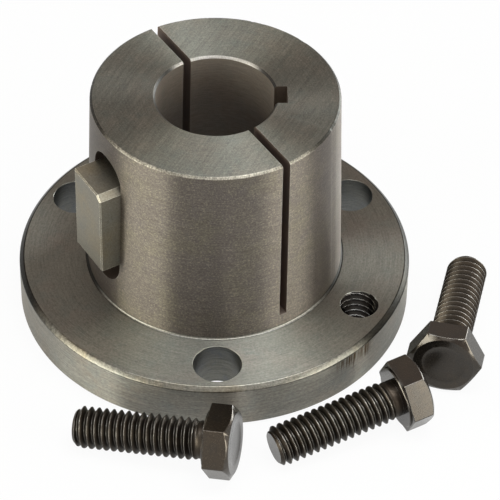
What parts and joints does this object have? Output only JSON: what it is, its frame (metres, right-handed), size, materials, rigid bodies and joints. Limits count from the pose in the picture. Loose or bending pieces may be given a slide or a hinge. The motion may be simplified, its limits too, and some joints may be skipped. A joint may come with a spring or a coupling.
{
  "type": "quick disconnect bushing",
  "caption": "Tapered slotted shaft bushing with a bolt-on flange, a bore keyway and an external key, its hexagon cap screws lying beside it.",
  "frame": {"origin": "on the bore axis, in the flange's back face, which the bushing stands on", "axes": "+Z along the bore from the flange to the barrel's small end; +X through the middle of the bore's keyway"},
  "size_m": [0.0904, 0.0926, 0.0484],
  "materials": {
    "machined_iron": "satin, turned, lightly oiled",
    "key_steel": "satin, ground",
    "black_oxide_steel": "black oxide, oiled"
  },
  "bodies": {
    "root": {"bushing_body": "machined_iron", "external_key": "key_steel", "cap_screw_left": "black_oxide_steel", "cap_screw_middle": "black_oxide_steel", "cap_screw_right": "black_oxide_steel"}
  },
  "joints": []
}
